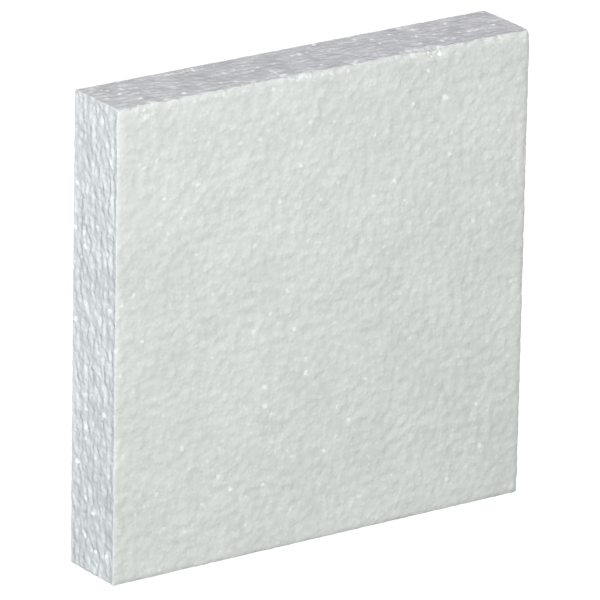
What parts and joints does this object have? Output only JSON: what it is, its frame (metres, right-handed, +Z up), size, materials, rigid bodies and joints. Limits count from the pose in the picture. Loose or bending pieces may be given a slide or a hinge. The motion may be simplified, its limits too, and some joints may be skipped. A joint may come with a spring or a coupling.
{
  "type": "floral foam slab",
  "caption": "Thin square slab of white, dry, cellular polystyrene foam with sawn edge faces and lightly worn edges, standing on its lower edge face.",
  "frame": {"origin": "middle of the lower edge face that the slab stands on", "axes": "+Z up along the height, +X along the width, +Y through the thickness from the front broad face to the back one"},
  "size_m": [0.302, 0.048, 0.302],
  "materials": {
    "foam": "white cellular foam: matt cell walls with a few glossy ones that sparkle"
  },
  "bodies": {
    "root": {"foam_slab": "foam"}
  },
  "joints": []
}
